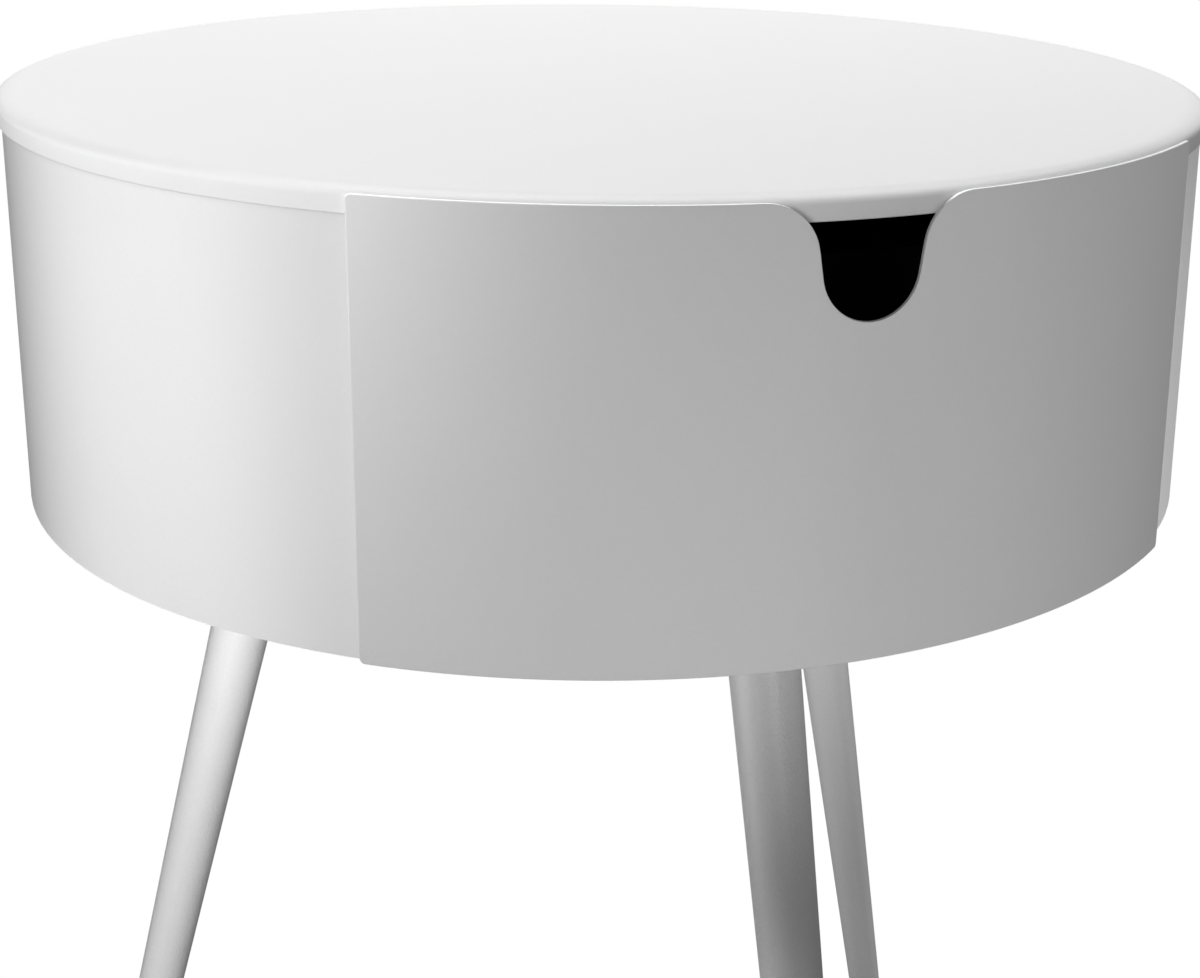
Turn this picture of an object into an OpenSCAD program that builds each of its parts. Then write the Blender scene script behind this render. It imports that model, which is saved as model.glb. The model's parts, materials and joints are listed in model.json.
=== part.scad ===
// Round drum nightstand: a sheet-steel drum with a pressed lid, a curved drawer front with a
// finger notch, a steel tray on two ball-bearing slides, and three tapered, splayed legs.
// The drawer faces -Y and opens along -Y. The floor is z = 0. The origin lies under the middle
// of the whole footprint, so the drum's own axis stands a little behind it.

/* [Drum] */
// Height from the floor to the top of the lid
total_height = 560; // [520:1:620]
// Height of the drum, from its lower edge to the top of the lid
drum_height = 147.5; // [140:0.1:160]
// Outer diameter of the drum's wall
drum_diameter = 440; // [430:1:460]
// Sheet thickness of the drum's wall
shell_sheet = 1.2; // [0.8:0.1:1.6]
// Half the angle of the opening in the drum's wall, in degrees
opening_half_angle = 37; // [36:0.5:38]
// Width of the wall's inward flange beside the opening
jamb_return = 10; // [8:0.5:11]
// Height of the strip of wall below the opening
sill_height = 5; // [4.5:0.1:6]
// Width of the inward flange that carries the lid
top_flange = 14; // [12:0.5:18]
// Outer radius of the bend between the wall and that flange
shell_bend = 3.5; // [2.5:0.1:4]

/* [Lid] */
// Sheet thickness of the lid
lid_sheet = 1.2; // [0.8:0.1:1.6]
// How far the lid stands out over the drum's wall
lid_overhang = 2; // [1.8:0.1:2.4]
// Height of the lid's skirt with its rounded edge
lid_skirt = 8.1; // [7.5:0.1:10]
// Outer radius of the lid's rounded edge
lid_corner = 4.4; // [3:0.1:6]
// Number of studs and nuts that hold the lid
lid_fixings = 6; // [4:1:8]

/* [Base pan] */
// Sheet thickness of the base pan
pan_sheet = 1.5; // [1:0.1:2]
// Depth of the recess under the pan
pan_recess = 2.5; // [2:0.1:3]
// Height of the stiffening bead pressed into the pan's floor
pan_bead = 1.5; // [1:0.1:2]

/* [Drawer front] */
// Sheet thickness of the drawer front
front_sheet = 1.5; // [1:0.1:2]
// Gap between the lid's skirt and the drawer front
front_gap = 0.5; // [0.4:0.1:1]
// Half the angle that the drawer front spans, in degrees
front_half_angle = 39.8; // [38.8:0.1:42]
// How far the drawer front's upper edge lies below the top of the lid
front_drop = 1.5; // [1:0.1:4]
// How far the drawer front's lower edge lies above the drum's lower edge
front_rise = 0.3; // [0.2:0.1:3]
// Radius of the drawer front's four corners
front_corner = 3.5; // [2:0.1:6]
// Depth of the finger notch
notch_depth = 37; // [30:0.1:42]
// Radius of the notch's round bottom
notch_radius = 16; // [13:0.1:20]
// Radius of the two shoulders beside the notch
shoulder_radius = 17; // [10:0.1:22]
// Extra half width of the notch where its sides flare
notch_flare = 1; // [0.5:0.1:3]

/* [Drawer tray] */
// Sheet thickness of the tray
tray_sheet = 1; // [0.8:0.1:1.4]
// Clearance between the tray's floor and the base pan's floor
tray_lift = 4; // [3.5:0.1:6]
// Clearance between the tray's rim and the upper edge of the opening
tray_headroom = 24; // [16:1:40]
// Depth of the finger pocket between the drawer front and the tray, at the tray's corners
pocket_depth = 22; // [18:1:34]
// Clearance between the tray's rear corners and the drum's wall
tray_rear_clearance = 30; // [20:1:60]
// Outer radius of the tray's upright corners
tray_corner = 4; // [3:0.5:6]
// Width of the tray's inward rim
tray_rim = 7; // [5:0.5:10]

/* [Slides] */
// Length of each slide
slide_length = 300; // [285:1:310]
// Travel of the drawer
slide_travel = 225; // [180:1:230]
// Thickness of a slide, the space it fills beside the tray
slide_thickness = 12.5; // [12:0.1:13]
// Height of a slide's outer member
slide_height = 35; // [33:0.5:38]
// Sheet thickness of the slide's members
slide_sheet = 1.2; // [1:0.1:1.3]
// Diameter of the slide's balls
ball_diameter = 4.76; // [4.5:0.01:5]
// Clearance between a ball and its raceway
race_clearance = 0.3; // [0.2:0.05:0.35]
// Spacing of the balls in a cage
ball_pitch = 22; // [16:1:30]
// Height of the slides above the tray's floor
slide_rise = 32; // [28:1:40]
// Sheet thickness of the slide brackets
bracket_sheet = 1.5; // [1:0.1:2]

/* [Legs] */
// Distance of a leg's axis from the drum's axis, at the drum's lower edge
leg_circle_radius = 131.6; // [115:0.1:145]
// Tilt of the legs from upright, in degrees
leg_tilt = 14.4; // [10:0.1:17]
// Turn of the front leg to the drawer's right, in degrees
leg_turn = 2.5; // [0:0.5:5]
// Outer diameter of a leg at the drum's lower edge
leg_top_diameter = 26.7; // [22:0.1:30]
// Outer diameter of a leg at the floor
leg_foot_diameter = 14; // [12:0.1:18]
// Wall of the leg's tube
leg_wall = 1.5; // [1:0.1:2]
// Diameter of the plate that carries a leg
leg_plate_diameter = 66; // [54:1:80]
// Length of the angled collar under a leg plate
collar_length = 16; // [12:1:22]
// Diameter of the threaded stud that joins a leg to its collar
leg_stud_diameter = 8; // [6:1:10]
// Height of the nylon glide that shows below a leg's tube
glide_height = 9; // [7:0.5:14]

/* [Fasteners] */
// Shank diameter of the screws, rivets and small studs
shank_diameter = 3.8; // [3:0.1:4]
// Head diameter of the screws and rivets
head_diameter = 7; // [6:0.1:8]
// Head height of the screws and rivets
head_height = 1.6; // [1.2:0.1:2]
// Width across the corners of the small nuts
nut_diameter = 8; // [7:0.1:8.5]
// Height of the small nuts
nut_height = 3.2; // [2.4:0.1:3.6]
// Radial clearance of a shank in its hole
shank_clearance = 0.1; // [0.05:0.01:0.15]

/* [Hidden] */
$fn = 96;

// Small overshoot that makes every cut run clear through
cut = 1;
// Clearance between the pan's lip and the drum's wall
pan_fit = 0.2;
// Clearance between mating curved faces of fixed sheet pieces
seat_gap = 0.1;
// Clearance between parts that move past each other
run_gap = 0.3;
// How far a straight edge dips into a round one where the two blend
graze = 0.03;
// Least radius of a corner
sharp = 0.5;

// Levels
base_z = total_height - drum_height;
lid_under_z = total_height - lid_sheet;
skirt_z = total_height - lid_skirt;
pan_under_z = base_z + pan_recess;
pan_top_z = pan_under_z + pan_sheet;
sill_z = base_z + sill_height;
// The strip of wall above the opening hides behind the lid's skirt
strip_cover = 1;
opening_top_z = skirt_z + strip_cover;
front_low_z = base_z + front_rise;
front_top_z = total_height - front_drop;
tray_low_z = pan_top_z + tray_lift;
tray_top_z = opening_top_z - tray_headroom;
slide_z = tray_low_z + slide_rise;

// Radii
drum_r = drum_diameter / 2;
shell_in_r = drum_r - shell_sheet;
lid_r = drum_r + lid_overhang;
front_in_r = lid_r + front_gap;
front_out_r = front_in_r + front_sheet;
jamb_end_r = shell_in_r - jamb_return;
pan_r = shell_in_r - pan_fit;
lid_stud_r = shell_in_r - top_flange / 2;

// Slides and tray, seen from above. The slides pass just inside the opening's flanges.
jamb_clearance = 1.2;
slide_setback = 9;
slide_x = jamb_end_r * sin(opening_half_angle) - jamb_clearance;
slide_front_y = -jamb_end_r * cos(opening_half_angle) + slide_setback;
slide_back_y = slide_front_y + slide_length;
tray_half = slide_x - slide_thickness;
tray_front_y = -sqrt(pow(front_in_r, 2) - pow(tray_half, 2)) + pocket_depth;
tray_back_y = sqrt(pow(shell_in_r, 2) - pow(tray_half, 2)) - tray_rear_clearance;

// Slide profile. u runs from the bracket towards the tray, w up from the slide's middle.
ball_r = ball_diameter / 2;
race_r = ball_r + race_clearance;
race_u = race_r + slide_sheet;
race_w = slide_height / 2 - race_r - slide_sheet;
// Height of the inner member's flange below the balls' centres
inner_drop = 1.4;
cage_sheet = 0.6;
cage_gap = 0.4;
cage_u = slide_sheet + cage_gap;
cage_reach = race_u + race_r + slide_sheet;
pocket_clearance = 0.2;
stop_reach = 2;
bumper_length = 6;
inner_back_y = slide_back_y - bumper_length - run_gap;
cage_front_y = slide_front_y + slide_sheet + run_gap + slide_travel / 2;
cage_back_y = inner_back_y - slide_sheet - run_gap;
balls_per_row = floor((cage_back_y - cage_front_y - ball_pitch / 2) / ball_pitch) + 1;
ball_start_y = (cage_front_y + cage_back_y - (balls_per_row - 1) * ball_pitch) / 2;

// Slide brackets
bracket_foot = 15.5;
bracket_head = 8;
bracket_bend = 2.5;
bracket_top_z = slide_z + slide_height / 2 + 5.5;
bracket_hole_x = slide_x + (bracket_sheet + bracket_foot) / 2;
// Shares of a slide's length at which its fixings sit
fixing_shares = [0.1, 0.46, 0.92];

// Front brackets and fixings of the drawer front
clip_sheet = 1.5;
clip_height = 80;
clip_foot = 22;
clip_web_x = tray_half - tray_corner;
clip_out_r = front_in_r - seat_gap;
clip_in_r = clip_out_r - clip_sheet;
clip_end_angle = 35.2;
clip_low_z = (tray_low_z + tray_top_z - clip_height) / 2;
clip_stud_angle = (asin(clip_web_x / clip_in_r) + clip_end_angle) / 2;
clip_levels = [clip_low_z + clip_height / 4, clip_low_z + clip_height * 3 / 4];
clip_screw_x = clip_web_x - clip_foot / 2;
front_stud_length = 9;
lid_stud_length = 7;

// Rubber pads behind the drawer front's edges
pad_diameter = 6;
pad_inset = 22;
pad_angle = (opening_half_angle + front_half_angle) / 2;

// Legs. s runs down a leg's axis from the drum's lower edge.
leg_azimuths = [leg_turn, leg_turn + 120, leg_turn + 240];
leg_axis_length = base_z / cos(leg_tilt);
leg_top_r = leg_top_diameter / 2;
leg_foot_r = leg_foot_diameter / 2;
leg_taper = (leg_top_r - leg_foot_r) / leg_axis_length;
leg_cap = 4;
leg_thread = 6;
tube_end_s = leg_axis_length - glide_height;
glide_shank = 12;
collar_r = leg_top_r;
stud_lead = 1;

// Distance from the drum's axis to the foremost point of the front foot
foot_reach = (leg_circle_radius + base_z * tan(leg_tilt)) * cos(leg_turn) + leg_foot_r / cos(leg_tilt);
axis_y = (foot_reach - lid_r) / 2;

function leg_radius(s) = leg_top_r - leg_taper * s;

// Places the drum's own axis so that the footprint is centred on the origin
module on_axis() {
  translate([0, axis_y, 0]) children();
}

// Keeps the right-hand shape, or mirrors it to the left
module on_side(side) {
  if (side > 0) children();
  else mirror([1, 0, 0]) children();
}

// Turns a shape made at the drawer's side to the given angle from the front
module at_angle(angle) {
  rotate([0, 0, angle]) children();
}

// A band of a round wall between two angles from the front
module arc_band(r_in, r_out, z_low, z_top, from_angle, to_angle) {
  rotate([0, 0, from_angle - 90])
    rotate_extrude(angle = to_angle - from_angle)
      translate([r_in, z_low])
        square([r_out - r_in, z_top - z_low]);
}

// A closed ring
module ring(r_in, r_out, z_low, z_top) {
  rotate_extrude()
    translate([r_in, z_low])
      square([r_out - r_in, z_top - z_low]);
}

// A rectangle with round corners and its lower left corner at the origin
module round_rect(size, radius) {
  translate([radius, 0]) square([size[0] - 2 * radius, size[1]]);
  translate([0, radius]) square([size[0], size[1] - 2 * radius]);
  for (x = [radius, size[0] - radius])
    for (y = [radius, size[1] - radius])
      translate([x, y]) circle(radius);
}

// A rod along the radius at the given angle and level
module radial_rod(angle, z, r_from, r_to, radius, sides = $fn) {
  at_angle(angle)
    translate([0, -r_from, z])
      rotate([90, 0, 0])
        cylinder(h = r_to - r_from, r = radius, $fn = sides);
}

// Half section of a round block with a rounded upper edge
module block_section(radius, z_low, z_top, corner) {
  translate([0, z_low]) square([radius, z_top - corner - z_low]);
  translate([0, z_low]) square([radius - corner, z_top - z_low]);
  intersection() {
    translate([radius - corner, z_top - corner]) circle(corner);
    translate([radius - corner - graze, z_top - corner - graze]) square(corner + cut);
  }
}

module top_lid() {
  color("white") on_axis() {
    rotate_extrude()
      difference() {
        block_section(lid_r, skirt_z, total_height, lid_corner);
        block_section(lid_r - lid_sheet, skirt_z - cut, lid_under_z, max(lid_corner - lid_sheet, sharp));
      }
    for (k = [0 : lid_fixings - 1])
      at_angle((k + 0.5) * 360 / lid_fixings)
        translate([0, -lid_stud_r, lid_under_z - lid_stud_length])
          cylinder(h = lid_stud_length + lid_sheet / 2, d = shank_diameter);
  }
}

module lid_nuts() {
  color("silver") on_axis()
    for (k = [0 : lid_fixings - 1])
      at_angle((k + 0.5) * 360 / lid_fixings)
        translate([0, -lid_stud_r, lid_under_z - shell_sheet - nut_height])
          difference() {
            cylinder(h = nut_height, d = nut_diameter, $fn = 6);
            translate([0, 0, -cut])
              cylinder(h = nut_height + 2 * cut, r = shank_diameter / 2 + shank_clearance);
          }
}

module drum_shell() {
  color("white") on_axis()
    difference() {
      union() {
        difference() {
          rotate_extrude()
            difference() {
              block_section(drum_r, base_z, lid_under_z, shell_bend);
              block_section(shell_in_r, base_z - cut, lid_under_z - shell_sheet, shell_bend - shell_sheet);
              square([shell_in_r - top_flange, total_height]);
            }
          arc_band(shell_in_r - cut, drum_r + cut, sill_z, opening_top_z,
                   -opening_half_angle, opening_half_angle);
        }
        for (side = [-1, 1])
          on_side(side)
            at_angle(opening_half_angle)
              translate([0, -shell_in_r - shell_sheet / 2, sill_z])
                cube([shell_sheet, jamb_return + shell_sheet / 2, opening_top_z - sill_z]);
      }
      for (k = [0 : lid_fixings - 1])
        at_angle((k + 0.5) * 360 / lid_fixings)
          translate([0, -lid_stud_r, lid_under_z - shell_sheet - cut])
            cylinder(h = shell_sheet + 2 * cut, r = shank_diameter / 2 + shank_clearance);
    }
}

// Radii of the two sides of the pan's pressed ring bead
bead_in_r = leg_circle_radius - leg_plate_diameter / 2 - 24;
bead_out_r = bead_in_r + 14;

module base_pan() {
  color("white") on_axis()
    difference() {
      union() {
        translate([0, 0, pan_under_z]) cylinder(h = pan_sheet, r = pan_r);
        ring(pan_r - pan_sheet, pan_r, base_z + pan_fit, pan_top_z);
        ring(bead_in_r, bead_out_r, pan_under_z, pan_top_z + pan_bead);
      }
      ring(bead_in_r + pan_sheet, bead_out_r - pan_sheet, pan_under_z - cut, pan_under_z + pan_bead);
      for (side = [-1, 1])
        for (share = fixing_shares)
          on_side(side)
            translate([bracket_hole_x, slide_front_y + share * slide_length, pan_under_z - cut])
              cylinder(h = pan_sheet + 2 * cut, r = shank_diameter / 2 + shank_clearance);
    }
}

// Puts a shape that hangs down its own z axis onto a leg's axis
module on_leg(azimuth) {
  on_axis()
    at_angle(azimuth)
      translate([0, -leg_circle_radius, base_z])
        rotate([-leg_tilt, 0, 0])
          children();
}

// A stretch of the leg's cone, inset from its surface
module leg_cone(s_from, s_to, inset) {
  translate([0, 0, -s_to])
    cylinder(h = s_to - s_from, r1 = leg_radius(s_to) - inset, r2 = leg_radius(s_from) - inset);
}

module stud_hole(s_from, s_to) {
  translate([0, 0, -s_to])
    cylinder(h = s_to - s_from, r = leg_stud_diameter / 2 + shank_clearance / 2);
}

module leg_plate(azimuth) {
  color("white")
    difference() {
      union() {
        on_axis()
          at_angle(azimuth)
            translate([0, -leg_circle_radius, base_z])
              cylinder(h = pan_recess, d = leg_plate_diameter);
        difference() {
          on_leg(azimuth)
            translate([0, 0, -collar_length])
              cylinder(h = collar_length + collar_r, r = collar_r);
          translate([-drum_diameter, -drum_diameter, base_z + pan_recess / 2])
            cube([2 * drum_diameter, 2 * drum_diameter, drum_height]);
        }
      }
      on_leg(azimuth) stud_hole(-collar_r, collar_length + cut);
    }
}

module leg_plate_front() { leg_plate(leg_azimuths[0]); }
module leg_plate_right() { leg_plate(leg_azimuths[1]); }
module leg_plate_left() { leg_plate(leg_azimuths[2]); }

module leg_studs() {
  color("silver")
    for (azimuth = leg_azimuths)
      on_leg(azimuth)
        translate([0, 0, -collar_length - leg_cap - leg_thread])
          cylinder(h = collar_length + leg_cap + leg_thread + stud_lead, d = leg_stud_diameter);
}

module leg(azimuth) {
  color("white")
    on_leg(azimuth)
      difference() {
        leg_cone(collar_length, tube_end_s, 0);
        leg_cone(collar_length + leg_cap, tube_end_s + cut, leg_wall);
        stud_hole(collar_length - cut, collar_length + leg_cap + cut);
      }
}

module leg_front() { leg(leg_azimuths[0]); }
module leg_right() { leg(leg_azimuths[1]); }
module leg_left() { leg(leg_azimuths[2]); }

module glide(azimuth) {
  color("dimgray")
    difference() {
      on_leg(azimuth) {
        leg_cone(tube_end_s, leg_axis_length + leg_foot_r, 0);
        leg_cone(tube_end_s - glide_shank, tube_end_s + cut, leg_wall + seat_gap);
      }
      translate([-drum_diameter, -drum_diameter, -drum_diameter])
        cube([2 * drum_diameter, 2 * drum_diameter, drum_diameter]);
    }
}

module glide_front() { glide(leg_azimuths[0]); }
module glide_right() { glide(leg_azimuths[1]); }
module glide_left() { glide(leg_azimuths[2]); }

// Sweeps a slide section, drawn in u and w, from one y to another on the right-hand side
module sweep_slide(y_from, y_to) {
  translate([slide_x, y_to, slide_z])
    rotate([90, 0, 0])
      linear_extrude(y_to - y_from)
        mirror([1, 0])
          children();
}

// A short rod across a slide, from one u to another, at its mid height
module slide_rod(y, u_from, u_to, radius) {
  translate([slide_x - u_to, y, slide_z])
    rotate([0, 90, 0])
      cylinder(h = u_to - u_from, r = radius);
}

module slide_bracket_section() {
  height = bracket_top_z - pan_top_z;
  difference() {
    round_rect([2 * bracket_foot, height], bracket_bend);
    translate([bracket_sheet, bracket_sheet])
      round_rect([2 * bracket_foot, height - 2 * bracket_sheet], bracket_bend - bracket_sheet);
    translate([bracket_foot, -cut]) square([2 * bracket_foot, height + 2 * cut]);
    translate([bracket_head, height / 2]) square([2 * bracket_foot, height]);
  }
}

module slide_bracket(side) {
  color("gainsboro") on_axis() on_side(side)
    difference() {
      translate([slide_x, slide_back_y, pan_top_z])
        rotate([90, 0, 0])
          linear_extrude(slide_length)
            slide_bracket_section();
      for (share = fixing_shares) {
        translate([bracket_hole_x, slide_front_y + share * slide_length, pan_top_z - cut])
          cylinder(h = bracket_sheet + 2 * cut, r = shank_diameter / 2 + shank_clearance);
        slide_rod(slide_front_y + share * slide_length, -bracket_sheet - cut, cut,
                  shank_diameter / 2 + shank_clearance);
      }
    }
}

module slide_bracket_left() { slide_bracket(-1); }
module slide_bracket_right() { slide_bracket(1); }

module bracket_screws() {
  color("silver") on_axis()
    for (side = [-1, 1])
      for (share = fixing_shares)
        on_side(side)
          translate([bracket_hole_x, slide_front_y + share * slide_length, 0]) {
            translate([0, 0, pan_top_z + bracket_sheet])
              cylinder(h = head_height, d = head_diameter);
            translate([0, 0, pan_under_z])
              cylinder(h = pan_sheet + bracket_sheet, d = shank_diameter);
          }
}

// The rolled ring that a ball runs in
module race_ring() {
  difference() {
    circle(race_r + slide_sheet);
    circle(race_r);
  }
}

module slide_outer_section() {
  translate([0, -race_w]) square([slide_sheet, 2 * race_w]);
  for (up = [0, 1])
    mirror([0, up])
      translate([race_u, race_w])
        intersection() {
          race_ring();
          translate([-race_u, 0]) square([2 * race_u, race_u]);
        }
}

module slide_outer(side) {
  color("silver") on_axis() on_side(side) {
    difference() {
      sweep_slide(slide_front_y, slide_back_y) slide_outer_section();
      for (share = fixing_shares)
        slide_rod(slide_front_y + share * slide_length, -cut, slide_sheet + cut,
                  shank_diameter / 2 + shank_clearance);
    }
    // Lanced tab at the front end that stops the ball cage
    sweep_slide(slide_front_y, slide_front_y + slide_sheet)
      translate([slide_sheet / 2, -slide_height / 7])
        square([slide_sheet / 2 + stop_reach, slide_height * 2 / 7]);
  }
}

module slide_outer_left() { slide_outer(-1); }
module slide_outer_right() { slide_outer(1); }

module outer_slide_rivets() {
  color("silver") on_axis()
    for (side = [-1, 1])
      for (share = fixing_shares)
        on_side(side) {
          slide_rod(slide_front_y + share * slide_length, -bracket_sheet - head_height, -bracket_sheet,
                    head_diameter / 2);
          slide_rod(slide_front_y + share * slide_length, -bracket_sheet, slide_sheet, shank_diameter / 2);
        }
}

module slide_bumpers() {
  color("black") on_axis()
    for (side = [-1, 1])
      on_side(side)
        sweep_slide(slide_back_y - bumper_length, slide_back_y)
          translate([slide_sheet, -slide_height / 3])
            round_rect([slide_thickness - 2 * slide_sheet - run_gap * 3, slide_height * 2 / 3], 2);
}

// A web with an arm over each row of balls, between the outer member's lip and the inner's flange
module ball_cage_section() {
  arm_w = race_w - (inner_drop - cage_sheet) / 2;
  difference() {
    translate([cage_u, -arm_w]) square([cage_reach - cage_u, 2 * arm_w]);
    translate([cage_u + cage_sheet, -arm_w + cage_sheet])
      square([cage_reach, 2 * (arm_w - cage_sheet)]);
  }
}

module ball_cage(side) {
  color("gray") on_axis() on_side(side)
    difference() {
      sweep_slide(cage_front_y, cage_back_y) ball_cage_section();
      for (k = [0 : balls_per_row - 1])
        for (w = [-race_w, race_w])
          translate([slide_x - race_u, ball_start_y + k * ball_pitch, slide_z + w - ball_r])
            cylinder(h = 2 * ball_r, r = ball_r + pocket_clearance);
    }
}

module ball_cage_left() { ball_cage(-1); }
module ball_cage_right() { ball_cage(1); }

module balls(side) {
  color("lightgray") on_axis() on_side(side)
    for (k = [0 : balls_per_row - 1])
      for (w = [-race_w, race_w])
        translate([slide_x - race_u, ball_start_y + k * ball_pitch, slide_z + w])
          sphere(ball_r);
}

module balls_left() { balls(-1); }
module balls_right() { balls(1); }

// The inner member: a groove under each row of balls, a flange and an upright web
module slide_inner_section() {
  translate([slide_thickness - slide_sheet, -race_w + inner_drop])
    square([slide_sheet, 2 * (race_w - inner_drop)]);
  for (up = [0, 1])
    mirror([0, up]) {
      translate([race_u, race_w])
        intersection() {
          race_ring();
          polygon([
            [0, 0],
            2 * race_u * [cos(250), sin(250)],
            2 * race_u * [cos(290), sin(290)],
            2 * race_u * [cos(330), sin(330)]
          ]);
        }
      translate([race_u + race_r, race_w - inner_drop - slide_sheet])
        square([slide_thickness - race_u - race_r, slide_sheet]);
    }
}

module slide_inner(side) {
  color("silver") on_axis() on_side(side)
    difference() {
      sweep_slide(slide_front_y, inner_back_y) slide_inner_section();
      for (share = fixing_shares)
        slide_rod(slide_front_y + share * slide_length, slide_thickness - slide_sheet - cut,
                  slide_thickness + cut, shank_diameter / 2 + shank_clearance);
    }
}

module slide_inner_left() { slide_inner(-1); }
module slide_inner_right() { slide_inner(1); }

module inner_slide_screws() {
  web_u = slide_thickness - slide_sheet;
  color("silver") on_axis()
    for (side = [-1, 1])
      for (share = fixing_shares)
        on_side(side) {
          slide_rod(slide_front_y + share * slide_length, web_u - head_height, web_u, head_diameter / 2);
          slide_rod(slide_front_y + share * slide_length, web_u, slide_thickness + tray_sheet,
                    shank_diameter / 2);
        }
}

// The tray's outline from above, inset from its outer faces
module tray_outline(inset) {
  radius = max(tray_corner - inset, sharp);
  translate([-tray_half + inset, tray_front_y + inset])
    round_rect([2 * (tray_half - inset), tray_back_y - tray_front_y - 2 * inset], radius);
}

// Screw positions where the front brackets meet the tray
module at_clip_screws() {
  for (side = [-1, 1])
    for (z = clip_levels)
      on_side(side)
        translate([clip_screw_x, tray_front_y, z])
          rotate([90, 0, 0])
            children();
}

module drawer_tray() {
  color("#161616") on_axis()
    difference() {
      translate([0, 0, tray_low_z]) linear_extrude(tray_top_z - tray_low_z) tray_outline(0);
      translate([0, 0, tray_low_z + tray_sheet])
        linear_extrude(tray_top_z - tray_low_z - 2 * tray_sheet)
          tray_outline(tray_sheet);
      translate([0, 0, tray_top_z - tray_sheet - cut])
        linear_extrude(tray_sheet + 2 * cut)
          tray_outline(tray_rim);
      at_clip_screws()
        translate([0, 0, -tray_sheet - cut])
          cylinder(h = tray_sheet + 2 * cut, r = shank_diameter / 2 + shank_clearance);
      for (side = [-1, 1])
        for (share = fixing_shares)
          on_side(side)
            slide_rod(slide_front_y + share * slide_length, slide_thickness - cut,
                      slide_thickness + tray_sheet + cut, shank_diameter / 2 + shank_clearance);
    }
}

// A sheet bracket: a foot on the tray's front wall, a web, and a flange that follows the front
module front_bracket(side) {
  color("#161616") on_axis() on_side(side)
    difference() {
      translate([0, 0, clip_low_z])
        linear_extrude(clip_height) {
          translate([clip_web_x - clip_foot, tray_front_y - clip_sheet]) square([clip_foot, clip_sheet]);
          translate([clip_web_x - clip_sheet, -sqrt(pow(clip_in_r + clip_sheet / 2, 2) - pow(clip_web_x, 2))])
            square([clip_sheet,
                    tray_front_y + sqrt(pow(clip_in_r + clip_sheet / 2, 2) - pow(clip_web_x, 2))]);
          intersection() {
            difference() {
              circle(clip_out_r, $fn = 360);
              circle(clip_in_r, $fn = 360);
            }
            polygon([
              [clip_web_x - clip_sheet, (clip_sheet - clip_web_x) / tan(clip_end_angle)],
              [clip_web_x - clip_sheet, -drum_diameter],
              drum_diameter * [sin(clip_end_angle), -cos(clip_end_angle)]
            ]);
          }
        }
      at_clip_screws()
        translate([0, 0, -cut])
          cylinder(h = clip_sheet + 2 * cut, r = shank_diameter / 2 + shank_clearance);
      for (z = clip_levels)
        radial_rod(clip_stud_angle, z, clip_in_r - cut, clip_out_r + cut,
                   shank_diameter / 2 + shank_clearance);
    }
}

module front_bracket_left() { front_bracket(-1); }
module front_bracket_right() { front_bracket(1); }

module tray_screws() {
  color("silver") on_axis()
    at_clip_screws() {
      translate([0, 0, clip_sheet]) cylinder(h = head_height, d = head_diameter);
      translate([0, 0, -tray_sheet]) cylinder(h = clip_sheet + tray_sheet, d = shank_diameter);
    }
}

// The notch: a round bottom, flared sides and round shoulders that run out into the upper edge.
// The flared side is the line that grazes both circles.
module notch_outline() {
  bottom_z = front_top_z - notch_depth + notch_radius;
  shoulder_x = notch_radius + shoulder_radius + notch_flare;
  shoulder_z = front_top_z - shoulder_radius + graze;
  low_r = notch_radius - graze;
  high_r = shoulder_radius - graze;
  span = norm([shoulder_x, shoulder_z - bottom_z]);
  touch = atan2(shoulder_z - bottom_z, shoulder_x) - acos((low_r + high_r) / span);
  low = [low_r * cos(touch), bottom_z + low_r * sin(touch)];
  high = [shoulder_x - high_r * cos(touch), shoulder_z - high_r * sin(touch)];
  translate([0, bottom_z]) circle(notch_radius);
  difference() {
    polygon([
      [-low[0], low[1]], low, high, [shoulder_x, shoulder_z],
      [shoulder_x, front_top_z + cut], [-shoulder_x, front_top_z + cut],
      [-shoulder_x, shoulder_z], [-high[0], high[1]]
    ]);
    for (side = [-1, 1])
      translate([side * shoulder_x, shoulder_z]) circle(shoulder_radius);
  }
}

// The material outside a round corner, for the edge on the right-hand side
module corner_waste() {
  at_angle(front_half_angle)
    translate([graze - front_corner, -front_in_r + cut, graze])
      rotate([90, 0, 0])
        linear_extrude(front_sheet + 2 * cut)
          difference() {
            square(front_corner + cut);
            circle(front_corner);
          }
}

module drawer_front() {
  color("whitesmoke") on_axis() {
    difference() {
      arc_band(front_in_r, front_out_r, front_low_z, front_top_z, -front_half_angle, front_half_angle);
      translate([0, -front_in_r + notch_radius, 0])
        rotate([90, 0, 0])
          linear_extrude(notch_radius + front_sheet + cut)
            notch_outline();
      for (side = [-1, 1])
        on_side(side) {
          translate([0, 0, front_top_z - front_corner]) corner_waste();
          translate([0, 0, front_low_z + front_corner]) mirror([0, 0, 1]) corner_waste();
        }
    }
    for (side = [-1, 1])
      for (z = clip_levels)
        on_side(side)
          radial_rod(clip_stud_angle, z, front_in_r - front_stud_length, front_in_r + front_sheet / 2,
                     shank_diameter / 2);
  }
}

module front_nuts() {
  color("silver") on_axis()
    for (side = [-1, 1])
      for (z = clip_levels)
        on_side(side)
          difference() {
            radial_rod(clip_stud_angle, z, clip_in_r - seat_gap - nut_height, clip_in_r - seat_gap,
                       nut_diameter / 2, 6);
            radial_rod(clip_stud_angle, z, clip_in_r - nut_height - 2 * cut, clip_in_r + cut,
                       shank_diameter / 2 + shank_clearance);
          }
}

module front_bumpers() {
  color("black") on_axis()
    for (side = [-1, 1])
      for (z = [front_low_z + pad_inset, front_top_z - pad_inset])
        on_side(side)
          radial_rod(pad_angle, z, drum_r + run_gap, front_in_r - seat_gap, pad_diameter / 2);
}

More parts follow.
